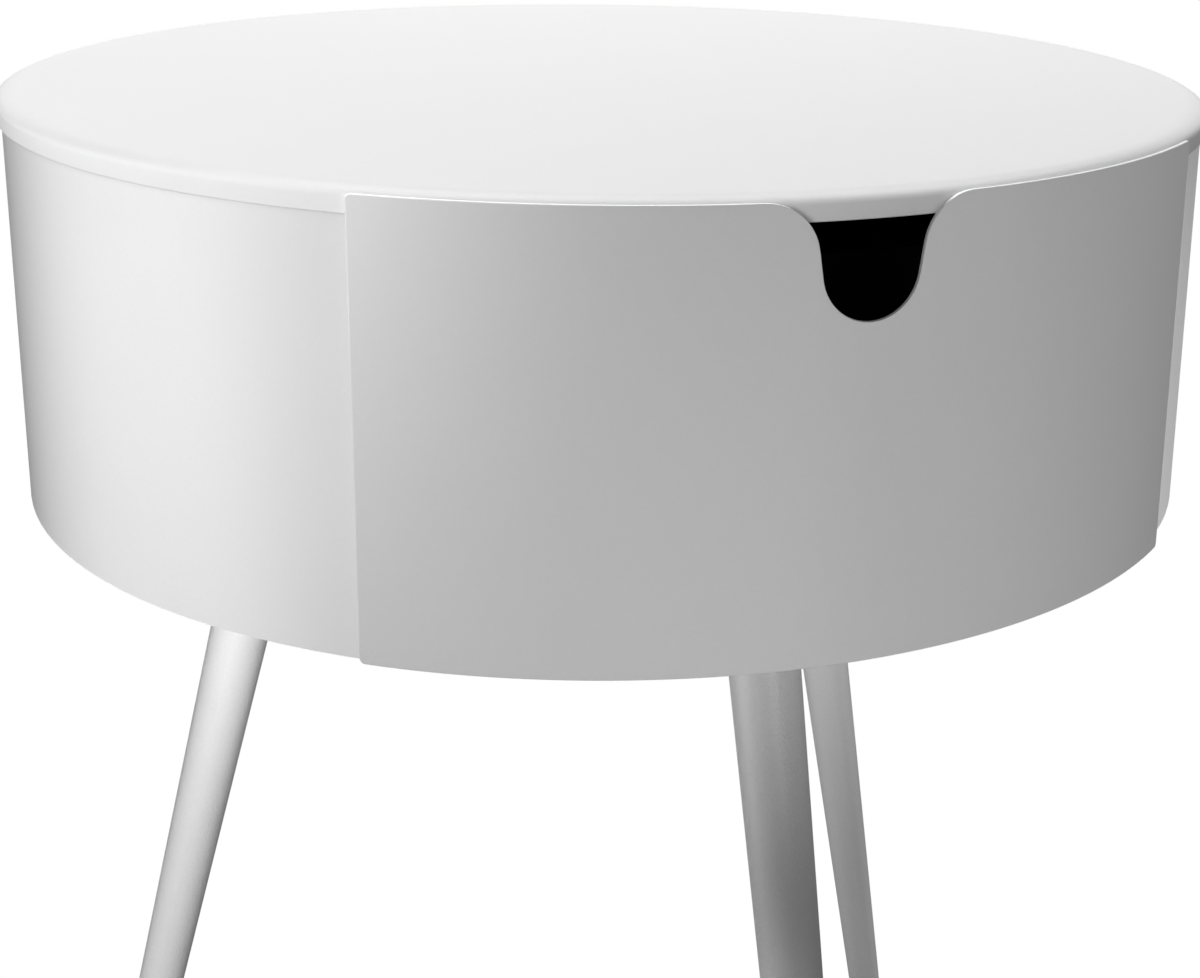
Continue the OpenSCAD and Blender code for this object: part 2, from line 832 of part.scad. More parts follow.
top_lid();
drum_shell();
lid_nuts();
base_pan();
leg_plate_front();
leg_plate_right();
leg_plate_left();
leg_studs();
leg_front();
leg_right();
leg_left();
glide_front();
glide_right();
glide_left();
slide_bracket_left();
slide_bracket_right();
bracket_screws();
slide_outer_left();
slide_outer_right();
outer_slide_rivets();
slide_bumpers();
ball_cage_left();
ball_cage_right();
balls_left();
balls_right();
slide_inner_left();
slide_inner_right();
inner_slide_screws();
drawer_tray();
front_bracket_left();
front_bracket_right();
tray_screws();
drawer_front();
front_nuts();
front_bumpers();
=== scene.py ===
import bpy
import json
import math
from mathutils import Euler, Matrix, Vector

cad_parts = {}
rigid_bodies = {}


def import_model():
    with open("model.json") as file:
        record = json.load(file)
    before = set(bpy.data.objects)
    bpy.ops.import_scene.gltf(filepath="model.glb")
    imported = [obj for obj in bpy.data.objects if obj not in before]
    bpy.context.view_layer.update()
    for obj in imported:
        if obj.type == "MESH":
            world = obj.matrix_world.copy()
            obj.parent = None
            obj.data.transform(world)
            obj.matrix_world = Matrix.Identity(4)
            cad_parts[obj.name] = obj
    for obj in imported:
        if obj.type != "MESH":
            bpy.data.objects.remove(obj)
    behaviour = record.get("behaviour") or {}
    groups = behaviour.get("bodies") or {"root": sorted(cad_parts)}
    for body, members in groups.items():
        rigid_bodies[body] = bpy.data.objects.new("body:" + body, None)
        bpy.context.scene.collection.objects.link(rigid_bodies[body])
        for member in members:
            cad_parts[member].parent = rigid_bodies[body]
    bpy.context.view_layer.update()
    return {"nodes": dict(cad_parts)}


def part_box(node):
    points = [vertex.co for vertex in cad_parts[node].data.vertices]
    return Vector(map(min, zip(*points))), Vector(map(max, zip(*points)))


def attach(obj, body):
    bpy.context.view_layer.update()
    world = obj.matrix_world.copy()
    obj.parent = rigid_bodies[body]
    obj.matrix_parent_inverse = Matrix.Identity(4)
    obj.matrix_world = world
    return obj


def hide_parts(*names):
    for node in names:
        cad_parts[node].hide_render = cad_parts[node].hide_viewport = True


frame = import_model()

nodes = frame["nodes"]
bpy.ops.object.select_all(action="DESELECT")


# Studio floor
# A white acrylic sheet, lit from below as well as from above, so that it reads as plain white
# paper. It is flat under the furniture and rises in a wide curve all round.
scene = bpy.context.scene
scene.view_settings.view_transform = "Standard"
scene.view_settings.look = "None"

FLOOR_RADIUS = 7.5
SWEEP_RADIUS = 2.0
FLOOR_SIDES = 120
SWEEP_STEPS = 10
WALL_RISE = 4.0
FLOOR_COLOUR = (0.80, 0.80, 0.80, 1.0)
FLOOR_GLOW = 0.88
FLOOR_CREASE = math.radians(30)

bpy.ops.mesh.primitive_circle_add(vertices=FLOOR_SIDES, radius=FLOOR_RADIUS, fill_type="NGON",
                                  location=(0, 0, 0))
floor = bpy.context.object
floor.name = "studio_floor"
bpy.ops.object.mode_set(mode="EDIT")
bpy.ops.mesh.select_mode(type="EDGE")
bpy.ops.mesh.select_all(action="SELECT")
reach, rise = FLOOR_RADIUS, 0.0
for step in range(1, SWEEP_STEPS + 1):
    turn = math.pi / 2 * step / SWEEP_STEPS
    new_reach = FLOOR_RADIUS + SWEEP_RADIUS * math.sin(turn)
    new_rise = SWEEP_RADIUS * (1 - math.cos(turn))
    lift = {"value": (0, 0, new_rise - rise)}
    # The first step draws out the sheet's rim alone, and its flat face stays where it is.
    if step == 1:
        bpy.ops.mesh.extrude_edges_move(TRANSFORM_OT_translate=lift)
    else:
        bpy.ops.mesh.extrude_region_move(TRANSFORM_OT_translate=lift)
    spread = new_reach / reach
    bpy.ops.transform.resize(value=(spread, spread, 1), center_override=(0, 0, 0))
    reach, rise = new_reach, new_rise
bpy.ops.mesh.extrude_region_move(TRANSFORM_OT_translate={"value": (0, 0, WALL_RISE)})
bpy.ops.object.mode_set(mode="OBJECT")
bpy.ops.object.shade_smooth_by_angle(angle=FLOOR_CREASE)
floor.visible_diffuse = False
floor.visible_glossy = False
floor.visible_shadow = False

floor_finish = bpy.data.materials.new("white_acrylic_sheet")
floor_finish.use_nodes = True
shader = floor_finish.node_tree.nodes["Principled BSDF"]
shader.inputs["Base Color"].default_value = FLOOR_COLOUR
shader.inputs["Roughness"].default_value = 0.9
shader.inputs["Specular IOR Level"].default_value = 0.1
shader.inputs["Emission Color"].default_value = (1.0, 1.0, 1.0, 1.0)
shader.inputs["Emission Strength"].default_value = FLOOR_GLOW
floor.data.materials.append(floor_finish)


# Studio light
# Banks above and behind for the lid, narrow strips close to the drum's left side, and boxes and
# snooted lamps for each leg. Flags hold each lamp to the pieces that it is for, so the drawer
# front falls off into grey to the right and stands out from the wall beside it.
DRUM_AXIS_Y = (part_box("drum_shell")[0].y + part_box("drum_shell")[1].y) / 2
VIEW_TURN = math.radians(-23.3)
DRUM_AIM = Vector((0.0, DRUM_AXIS_Y, 0.48))
LEFT_LEG_AIM = Vector((-0.127, 0.077, 0.34))
FRONT_LEG_AIM = Vector((0.006, -0.124, 0.40))
RIGHT_LEG_AIM = Vector((0.136, 0.098, 0.30))
SNOOT_DISTANCE = 0.6
SNOOT_SOFTNESS = 0.9
ROOM_LIGHT = 0.15

lit = {part: bpy.data.collections.new("lit_" + part)
       for part in ("lid", "drum", "front", "legs", "leg_left", "leg_front", "leg_right")}


def hang_lamp(lamp, part, aim, azimuth, elevation, distance):
    """Hangs a lamp for one part of the nightstand, at a distance from its aim. Azimuth and
    elevation are degrees away from the camera's own direction."""
    turn = VIEW_TURN + math.radians(azimuth)
    tilt = math.radians(elevation)
    level = math.cos(tilt)
    way = Vector((math.sin(turn) * level, -math.cos(turn) * level, math.sin(tilt)))
    holder = bpy.data.objects.new(lamp.name, lamp)
    scene.collection.objects.link(holder)
    holder.location = aim + way * distance
    holder.rotation_euler = way.to_track_quat("Z", "Y").to_euler()
    holder.visible_camera = False
    holder.light_linking.receiver_collection = lit[part]
    return holder


def soft_box(name, part, azimuth, elevation, distance, width, height, power):
    """A rectangular light aimed at the drum. Sizes are in metres and the power is in watts."""
    lamp = bpy.data.lights.new(name, "AREA")
    lamp.shape = "RECTANGLE"
    lamp.size = width
    lamp.size_y = height
    lamp.energy = power
    return hang_lamp(lamp, part, DRUM_AIM, azimuth, elevation, distance)


def snoot(name, part, aim, azimuth, elevation, cone, radius, power):
    """A narrow, soft-edged cone of light on one leg, the cone in degrees."""
    lamp = bpy.data.lights.new(name, "SPOT")
    lamp.spot_size = math.radians(cone)
    lamp.spot_blend = SNOOT_SOFTNESS
    lamp.shadow_soft_size = radius
    lamp.energy = power
    return hang_lamp(lamp, part, aim, azimuth, elevation, SNOOT_DISTANCE)


# Each call gives the name, the part lit, azimuth, elevation, distance, width, height and power.
soft_box("rear_bank", "lid", 180, 55, 1.2, 1.2, 0.8, 7.1)
soft_box("low_rear_bank", "lid", 180, 12, 2.5, 3.0, 1.0, 11.0)
soft_box("left_bank", "lid", -90, 58, 1.1, 0.9, 0.9, 4.5)
soft_box("right_bank", "lid", 90, 58, 1.1, 0.9, 0.9, 1.7)
rim_strip = soft_box("rim_strip", "lid", -52, 5, 0.45, 0.15, 0.3, 0.43)
# No reflection shows this strip: from the side, it would burn a patch on the lid's far edge.
rim_strip.visible_glossy = False
soft_box("rim_box", "lid", -15, 10, 0.6, 0.2, 0.3, 0.9)
soft_box("rim_fill", "lid", 60, 8, 1.2, 0.6, 1.2, 1.2)
soft_box("left_strip", "drum", -48, 4, 0.34, 0.1, 0.45, 0.186)
soft_box("inner_left_strip", "drum", -42, 4, 0.36, 0.1, 0.45, 0.085)
soft_box("side_box", "drum", -15, 10, 0.6, 0.2, 0.3, 0.822)
soft_box("low_right_box", "drum", 90, -20, 1.0, 0.5, 0.5, 1.82)
soft_box("low_rear_right_box", "drum", 120, -20, 1.0, 0.5, 0.5, 0.776)
soft_box("low_rear_box", "drum", 150, -20, 1.0, 0.5, 0.5, 0.2)
soft_box("back_box", "drum", 180, 20, 1.4, 1.2, 0.8, 12.0)
soft_box("top_edge_bank", "front", 180, 55, 1.2, 1.2, 0.8, 20.0)
soft_box("high_left_strip", "front", -48, 30, 0.45, 0.1, 0.2, 1.085)
soft_box("left_front_box", "front", -15, 10, 0.6, 0.2, 0.3, 0.161)
soft_box("low_front_box", "front", 20, -15, 0.9, 0.6, 0.4, 1.131)
soft_box("middle_box", "front", 0, -25, 0.6, 0.5, 0.2, 0.131)
soft_box("right_fill", "front", 60, 8, 1.2, 0.6, 1.2, 1.21)
soft_box("rear_leg_fill", "legs", 180, 5, 1.4, 1.2, 1.0, 8.0)
soft_box("left_leg_box", "leg_left", -20, -15, 0.9, 0.6, 0.4, 4.27)
soft_box("left_leg_top_box", "leg_left", -25, 45, 0.5, 0.25, 0.25, 2.93)
soft_box("front_leg_strip", "leg_front", -62, -20, 0.5, 0.15, 0.3, 0.57)
soft_box("front_leg_top_box", "leg_front", -25, 45, 0.5, 0.25, 0.25, 3.67)
soft_box("right_leg_strip", "leg_right", -62, -20, 0.5, 0.15, 0.3, 1.4)
soft_box("right_leg_box", "leg_right", 90, -20, 1.0, 0.5, 0.5, 1.5)
# Each call gives the name, the part lit, its aim, azimuth, elevation, cone, radius and power.
snoot("left_leg_snoot", "leg_left", LEFT_LEG_AIM, 0, 2, 20, 0.1, 9.8)
snoot("front_leg_left_snoot", "leg_front", FRONT_LEG_AIM, -60, -8, 14, 0.06, 2.3)
snoot("front_leg_right_snoot", "leg_front", FRONT_LEG_AIM, 25, -8, 14, 0.06, 5.0)
snoot("right_leg_snoot", "leg_right", RIGHT_LEG_AIM, 20, 2, 20, 0.08, 4.0)

room = bpy.data.worlds.new("studio_room")
room.use_nodes = True
room.node_tree.nodes["Background"].inputs["Color"].default_value = (1.0, 1.0, 1.0, 1.0)
room.node_tree.nodes["Background"].inputs["Strength"].default_value = ROOM_LIGHT
scene.world = room


# Camera
# It stands left of the drawer's middle and looks down at about 17 degrees. The picture is cut
# from the lower left part of a wider one, which the small shift of the lens gives.
CAMERA_PLACE = (-0.28172, -0.76067, 0.68851)
CAMERA_TURNS = (72.6561, -1.2532, -23.2617)
LENS_LENGTH = 65.0385
LENS_SHIFT = (-0.11667, -0.07417)
camera_data = bpy.data.cameras.new("photo_camera")
camera_data.lens = LENS_LENGTH
camera_data.sensor_width = 36.0
camera_data.shift_x, camera_data.shift_y = LENS_SHIFT
camera_data.clip_end = 40.0
camera = bpy.data.objects.new("photo_camera", camera_data)
camera.location = CAMERA_PLACE
camera.rotation_euler = Euler([math.radians(turn) for turn in CAMERA_TURNS], "XYZ")
scene.collection.objects.link(camera)
scene.camera = camera


# Drum wall
# Mild steel sheet, rolled into a ring, with folded flanges round the drawer's opening and under
# the lid. All white steel is powder coated: satin, with a fine orange peel.
COAT_WHITE = (0.80, 0.80, 0.80)
CLOUD_SCALE = 26.0
GLOSS_SPREAD = 0.03


def shade_of(colour, share):
    """A darker or lighter shade of a colour."""
    return tuple(min(c * share, 1.0) for c in colour) + (1.0,)


def vary_colour(tree, pattern, colour, dark, light):
    """Lets a pattern vary a finish between a dark and a light shade of its colour."""
    tint = tree.nodes.new("ShaderNodeMix")
    tint.data_type = "RGBA"
    tint.inputs["A"].default_value = shade_of(colour, dark)
    tint.inputs["B"].default_value = shade_of(colour, light)
    tree.links.new(pattern, tint.inputs["Factor"])
    tree.links.new(tint.outputs["Result"], tree.nodes["Principled BSDF"].inputs["Base Color"])


def vary_gloss(tree, pattern, smoothest, roughest):
    """Lets a pattern vary a finish between two roughnesses."""
    gloss = tree.nodes.new("ShaderNodeMapRange")
    gloss.inputs["To Min"].default_value = smoothest
    gloss.inputs["To Max"].default_value = roughest
    tree.links.new(pattern, gloss.inputs["Value"])
    tree.links.new(gloss.outputs["Result"], tree.nodes["Principled BSDF"].inputs["Roughness"])


def powder_coat(name, colour, roughness, peel_size, peel_height, mottle):
    """Powder coating: a fine orange peel over soft clouds. The colour follows both faintly, and
    the gloss follows the clouds."""
    finish = bpy.data.materials.new(name)
    finish.use_nodes = True
    tree = finish.node_tree
    place = tree.nodes.new("ShaderNodeTexCoord")
    cloud = tree.nodes.new("ShaderNodeTexNoise")
    cloud.inputs["Scale"].default_value = CLOUD_SCALE
    cloud.inputs["Detail"].default_value = 3.0
    tree.links.new(place.outputs["Object"], cloud.inputs["Vector"])
    vary_gloss(tree, cloud.outputs["Fac"], roughness - GLOSS_SPREAD, roughness + GLOSS_SPREAD)
    peel = tree.nodes.new("ShaderNodeTexNoise")
    peel.inputs["Scale"].default_value = 1.0 / peel_size
    peel.inputs["Detail"].default_value = 2.0
    peel.inputs["Roughness"].default_value = 0.4
    tree.links.new(place.outputs["Object"], peel.inputs["Vector"])
    bump = tree.nodes.new("ShaderNodeBump")
    bump.inputs["Strength"].default_value = 1.0
    bump.inputs["Distance"].default_value = peel_height
    tree.links.new(peel.outputs["Fac"], bump.inputs["Height"])
    tree.links.new(bump.outputs["Normal"], tree.nodes["Principled BSDF"].inputs["Normal"])
    blend = tree.nodes.new("ShaderNodeMix")
    blend.inputs["Factor"].default_value = 0.5
    tree.links.new(cloud.outputs["Fac"], blend.inputs["A"])
    tree.links.new(peel.outputs["Fac"], blend.inputs["B"])
    vary_colour(tree, blend.outputs["Result"], colour, dark=1 - mottle, light=1 + mottle)
    return finish


def dress(finish, *names):
    """Puts one finish on CAD nodes."""
    for name in names:
        nodes[name].data.materials.clear()
        nodes[name].data.materials.append(finish)


white_coat = powder_coat("white_powder_coat", COAT_WHITE, roughness=0.38, peel_size=0.0014,
                         peel_height=0.00006, mottle=0.03)
dress(white_coat, "drum_shell")


# Lid
# One disc of steel sheet, powder coated like the drum. It is pressed to a wide soft rim with a short
# skirt that drops over the wall.
LID_SHEET = 0.0012
RIM_REACH = 0.008
RIM_DROP = 0.003
SKIRT_DEPTH = 0.0081
SKIRT_EDGE = 0.0005
LID_STEPS = 240
RIM_STEPS = 18
SKIRT_EDGE_STEPS = 4
UNDER_RIM_STEPS = 6
LID_CREASE = math.radians(40)
TOP_RINGS = (0.0, 0.03, 0.08, 0.13, 0.17, 0.2, 0.21)
UNDERSIDE_RINGS = (0.21, 0.2, 0.1, 0.0)
SHORTEST_EDGE = 1e-7
MERGE_REACH = 0.000002
lid_low, lid_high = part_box("top_lid")
lid_radius = (lid_high.x - lid_low.x) / 2
lid_top = lid_high.z


def on_axis(radius, z):
    """A point in the upright plane through the drum's axis."""
    return Vector((radius, DRUM_AXIS_Y, z))


def arc(centre, reach, rise, from_deg, to_deg, steps):
    """Points along an arc in the upright plane through the drum's axis: 0 points outwards, 90 up."""
    points = []
    for k in range(steps + 1):
        turn = math.radians(from_deg + (to_deg - from_deg) * k / steps)
        points.append(on_axis(centre[0] + reach * math.cos(turn), centre[1] + rise * math.sin(turn)))
    return points


def draw_line(name, points):
    """A chain of edges, drawn by extruding one point after another. Leaves it in edit mode."""
    bpy.ops.object.select_all(action="DESELECT")
    # A small plane, merged to a single point, is where the drawing starts.
    bpy.ops.mesh.primitive_plane_add(size=0.001, location=points[0])
    piece = bpy.context.object
    piece.name = name
    bpy.ops.object.transform_apply(location=True)
    bpy.ops.object.mode_set(mode="EDIT")
    bpy.ops.mesh.select_mode(type="VERT")
    bpy.ops.mesh.select_all(action="SELECT")
    bpy.ops.mesh.merge(type="CENTER")
    for here, there in zip(points, points[1:]):
        if (there - here).length > SHORTEST_EDGE:
            bpy.ops.mesh.extrude_region_move(TRANSFORM_OT_translate={"value": tuple(there - here)})
    return piece


def turn_on_axis(steps, centre):
    """Spins the drawn section round an upright axis into a closed solid, and leaves edit mode."""
    bpy.ops.mesh.select_all(action="SELECT")
    bpy.ops.mesh.spin(steps=steps, angle=math.tau, center=centre, axis=(0, 0, 1))
    bpy.ops.mesh.select_all(action="SELECT")
    bpy.ops.mesh.remove_doubles(threshold=MERGE_REACH)
    bpy.ops.mesh.normals_make_consistent(inside=False)
    bpy.ops.object.mode_set(mode="OBJECT")


rim_centre = (lid_radius - RIM_REACH, lid_top - RIM_DROP)
skirt_low = lid_top - SKIRT_DEPTH
skirt_edge_centre = (lid_radius - SKIRT_EDGE, skirt_low + SKIRT_EDGE)
section = [on_axis(r, lid_top) for r in TOP_RINGS]
section += arc(rim_centre, RIM_REACH, RIM_DROP, 90, 0, RIM_STEPS)
section += arc(skirt_edge_centre, SKIRT_EDGE, SKIRT_EDGE, 0, -90, SKIRT_EDGE_STEPS)
section += [on_axis(lid_radius - LID_SHEET, skirt_low)]
section += arc(rim_centre, RIM_REACH - LID_SHEET, RIM_DROP - LID_SHEET, 0, 90, UNDER_RIM_STEPS)
section += [on_axis(r, lid_top - LID_SHEET) for r in UNDERSIDE_RINGS]
pressed_lid = draw_line("pressed_lid", section)
turn_on_axis(LID_STEPS, (0, DRUM_AXIS_Y, 0))
bpy.ops.object.shade_smooth_by_angle(angle=LID_CREASE)
pressed_lid.data.materials.append(white_coat)
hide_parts("top_lid")
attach(pressed_lid, "frame")


# Lid studs and nuts
# Six threaded studs of zinc-plated steel are welded under the lid. Hex nuts on them clamp the
# wall's top flange from below.
THREAD_PITCH = 0.0007
THREAD_DEPTH = 0.0003
SHANK_RADIUS = 0.0019
TIP_LENGTH = 0.0004
TIP_RADIUS = SHANK_RADIUS - 0.0006
TURNED_STEPS = 20
LID_STUDS = 6
LID_STUD_REACH = 0.2118
LID_STUD_LENGTH = 0.007
FIXING_CREASE = math.radians(35)


def thread_rings(radius, z_from, z_to):
    """The outline of a rolled thread between two heights, as pairs of radius and height."""
    turns = max(1, round(abs(z_to - z_from) / THREAD_PITCH))
    pitch = (z_to - z_from) / turns
    rings = []
    for k in range(turns):
        rings += [(radius - THREAD_DEPTH, z_from + pitch * k), (radius, z_from + pitch * (k + 0.5))]
    return rings + [(radius - THREAD_DEPTH, z_to)]


def turned_part(name, rings, steps=TURNED_STEPS):
    """A part turned round the upright axis through the origin, from pairs of radius and height."""
    closed = [(0, rings[0][1])] + rings + [(0, rings[-1][1])]
    part = draw_line(name, [Vector((r, 0, z)) for r, z in closed])
    turn_on_axis(steps, (0, 0, 0))
    return part


def threaded_stud(name, length):
    """A weld stud that stands on the plane z = 0, with a chamfered tip."""
    thread = thread_rings(SHANK_RADIUS, 0.0, length - TIP_LENGTH)
    return turned_part(name, thread + [(TIP_RADIUS, length)])


def join_pieces(name, pieces):
    """Joins pieces into one, with its place in its mesh."""
    bpy.ops.object.select_all(action="DESELECT")
    for piece in pieces:
        piece.select_set(True)
    bpy.context.view_layer.objects.active = pieces[0]
    bpy.ops.object.transform_apply(location=True, rotation=True)
    bpy.ops.object.join()
    joined = bpy.context.object
    joined.name = name
    return joined


def round_drum(turn, reach, z):
    """A place at an angle from the drum's front, and the way from there to the drum's axis."""
    out = Vector((math.sin(turn), -math.cos(turn), 0))
    return Vector((0, DRUM_AXIS_Y, z)) + out * reach, -out


ZINC_GREY = (0.62, 0.63, 0.65)
GRAIN_SCALE = (900.0, 12.0, 900.0)


def plated_steel(name, colour, roughness):
    """Bright plating with a faint drawn grain along the slides."""
    finish = bpy.data.materials.new(name)
    finish.use_nodes = True
    tree = finish.node_tree
    tree.nodes["Principled BSDF"].inputs["Metallic"].default_value = 1.0
    place = tree.nodes.new("ShaderNodeTexCoord")
    along = tree.nodes.new("ShaderNodeMapping")
    along.inputs["Scale"].default_value = GRAIN_SCALE
    tree.links.new(place.outputs["Object"], along.inputs["Vector"])
    grain = tree.nodes.new("ShaderNodeTexNoise")
    grain.inputs["Scale"].default_value = 1.0
    tree.links.new(along.outputs["Vector"], grain.inputs["Vector"])
    vary_colour(tree, grain.outputs["Fac"], colour, dark=0.9, light=1.08)
    vary_gloss(tree, grain.outputs["Fac"], smoothest=roughness - 0.05, roughest=roughness + 0.08)
    return finish


zinc = plated_steel("zinc_plated_steel", ZINC_GREY, roughness=0.32)


def set_copies(pattern, name, spots, cad_node, body):
    """Sets a copy of a zinc-plated part at each spot, its axis along the given way, and joins them."""
    made = []
    for place, way in spots:
        copy = pattern.copy()
        copy.data = pattern.data.copy()
        scene.collection.objects.link(copy)
        copy.location = place
        copy.rotation_euler = Vector(way).to_track_quat("Z", "Y").to_euler()
        made.append(copy)
    bpy.data.objects.remove(pattern)
    piece = join_pieces(name, made)
    bpy.ops.object.shade_smooth_by_angle(angle=FIXING_CREASE)
    piece.data.materials.append(zinc)
    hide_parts(cad_node)
    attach(piece, body)


stud_places = [round_drum(math.tau * (k + 0.5) / LID_STUDS, LID_STUD_REACH, lid_top - LID_SHEET)[0]
               for k in range(LID_STUDS)]
set_copies(threaded_stud("lid_stud", LID_STUD_LENGTH), "lid_studs",
           [(place, (0, 0, -1)) for place in stud_places], "top_lid", "frame")

NUT_CORNERS = 0.004
NUT_HEIGHT = 0.0032
NUT_CHAMFER = math.radians(30)
NUT_STEPS = 48
NUT_BLANK_RADIUS = NUT_CORNERS * 1.05
BORE_RADIUS = SHANK_RADIUS + 0.0001
BORE_OVERRUN = 0.001


def carve(part, tool, way):
    """Cuts a part with a tool, or keeps what they share, and removes the tool."""
    bpy.ops.object.select_all(action="DESELECT")
    part.select_set(True)
    bpy.context.view_layer.objects.active = part
    cut = part.modifiers.new("cut", "BOOLEAN")
    cut.operation = way
    cut.solver = "EXACT"
    cut.object = tool
    bpy.ops.object.modifier_apply(modifier="cut")
    bpy.data.objects.remove(tool)


def hex_nut():
    """A small hex nut, its corners chamfered, that stands on the plane z = 0."""
    bpy.ops.object.select_all(action="DESELECT")
    bpy.ops.mesh.primitive_cylinder_add(vertices=6, radius=NUT_CORNERS, depth=NUT_HEIGHT,
                                        location=(0, 0, NUT_HEIGHT / 2))
    nut = bpy.context.object
    bpy.ops.object.transform_apply(location=True)
    flats = NUT_CORNERS * math.cos(math.pi / 6)
    drop = (NUT_BLANK_RADIUS - flats) * math.tan(NUT_CHAMFER)
    blank = [(flats, 0.0), (NUT_BLANK_RADIUS, drop),
             (NUT_BLANK_RADIUS, NUT_HEIGHT - drop), (flats, NUT_HEIGHT)]
    carve(nut, turned_part("nut_blank", blank, NUT_STEPS), "INTERSECT")
    bore = [(BORE_RADIUS, -BORE_OVERRUN), (BORE_RADIUS, NUT_HEIGHT + BORE_OVERRUN)]
    carve(nut, turned_part("nut_bore", bore), "DIFFERENCE")
    return nut


nut_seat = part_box("lid_nuts")[1].z
set_copies(hex_nut(), "lid_hex_nuts",
           [((place.x, place.y, nut_seat), (0, 0, -1)) for place in stud_places], "lid_nuts", "frame")


# Base pan and leg plates
# A shallow steel pan in the drum's foot, with a pressed ring that stiffens it. Three plates with
# angled collars for the legs are welded under it.
dress(white_coat, "base_pan", "leg_plate_front", "leg_plate_right", "leg_plate_left")

WELD_THICK = 0.0014
WELD_PITCH = 0.0013
WELD_RIPPLE = 0.00022
WELD_SIDES = 8
PLATE_RADIUS = 0.033
COLLAR_RADIUS = 0.01335
LEG_LEAN = math.radians(14.4)


def weld_ring(centre, radius, stretch):
    """A rippled fillet of weld in a level ring, stretched along the way that the leg leans."""
    ripples = round(math.tau * radius / WELD_PITCH)
    bpy.ops.object.select_all(action="DESELECT")
    bpy.ops.mesh.primitive_torus_add(major_radius=radius, minor_radius=WELD_THICK,
                                     major_segments=2 * ripples, minor_segments=WELD_SIDES)
    ring = bpy.context.object
    bpy.ops.object.mode_set(mode="EDIT")
    bpy.ops.mesh.select_mode(type="VERT")
    bpy.ops.mesh.select_all(action="DESELECT")
    bpy.ops.object.mode_set(mode="OBJECT")
    # Every second row of points is drawn in, which leaves the ripples between them.
    for point in ring.data.vertices:
        point.select = point.index // WELD_SIDES % 2 == 0
    bpy.ops.object.mode_set(mode="EDIT")
    bpy.ops.transform.shrink_fatten(value=-WELD_RIPPLE)
    bpy.ops.object.mode_set(mode="OBJECT")
    ring.scale = (1, stretch, 1)
    ring.rotation_euler = (0, 0, math.atan2(centre.x, DRUM_AXIS_Y - centre.y))
    ring.location = centre
    bpy.ops.object.transform_apply(location=True, rotation=True, scale=True)
    return ring


beads = []
for plate in ("leg_plate_front", "leg_plate_right", "leg_plate_left"):
    low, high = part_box(plate)
    centre = Vector(((low.x + high.x) / 2, (low.y + high.y) / 2, high.z))
    beads.append(weld_ring(centre, PLATE_RADIUS, 1.0))
    centre.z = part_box("drum_shell")[0].z
    beads.append(weld_ring(centre, COLLAR_RADIUS, 1 / math.cos(LEG_LEAN)))
weld_beads = join_pieces("leg_plate_welds", beads)
bpy.ops.object.shade_smooth()
weld_beads.data.materials.append(white_coat)
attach(weld_beads, "frame")


# Legs and glides
# Tapered steel tubes, swaged to a small foot, coated like the drum. Dark grey nylon glides are
# pressed into their ends.
NYLON_GREY = (0.12, 0.12, 0.12)
leg_coat = powder_coat("leg_powder_coat", COAT_WHITE, roughness=0.38, peel_size=0.0012,
                       peel_height=0.00025, mottle=0.07)
dress(leg_coat, "leg_front", "leg_right", "leg_left")
nylon = powder_coat("grey_nylon", NYLON_GREY, roughness=0.5, peel_size=0.003,
                    peel_height=0.00003, mottle=0.08)
dress(nylon, "glide_front", "glide_right", "glide_left")


# Slides, cages and brackets
# Zinc-plated steel: cold-rolled slide members, ball cages, the folded brackets that carry them, and
# the studs that the legs screw onto. The balls are polished bearing steel.
STEEL_GREY = (0.72, 0.72, 0.74)
bearing_steel = plated_steel("bearing_steel", STEEL_GREY, roughness=0.12)
dress(zinc, "leg_studs", "slide_bracket_left", "slide_bracket_right",
      "slide_outer_left", "slide_outer_right", "ball_cage_left", "ball_cage_right",
      "slide_inner_left", "slide_inner_right")
dress(bearing_steel, "balls_left", "balls_right")


# Screws and rivets
# Pan-head steel screws with a cross recess hold the brackets to the pan, the slides to the tray and
# the tray to its front brackets. Domed rivets hold the slides' outer members to their brackets.
HEAD_RADIUS = 0.0035
HEAD_HEIGHT = 0.0016
RECESS_DEPTH = 0.001
RECESS_REACH = 0.0019
RECESS_WIDTH = 0.0008
RECESS_TAPER = 0.5
HEAD_SEAT_RADIUS = HEAD_RADIUS * 0.94
HEAD_SIDE = 0.35
DOME_TURNS = (0, 22, 45, 68, 82)
dome = []
for degrees in DOME_TURNS:
    turn = math.radians(degrees)
    height_share = HEAD_SIDE + (1 - HEAD_SIDE) * math.sin(turn)
    dome.append((HEAD_RADIUS * math.cos(turn), HEAD_HEIGHT * height_share))


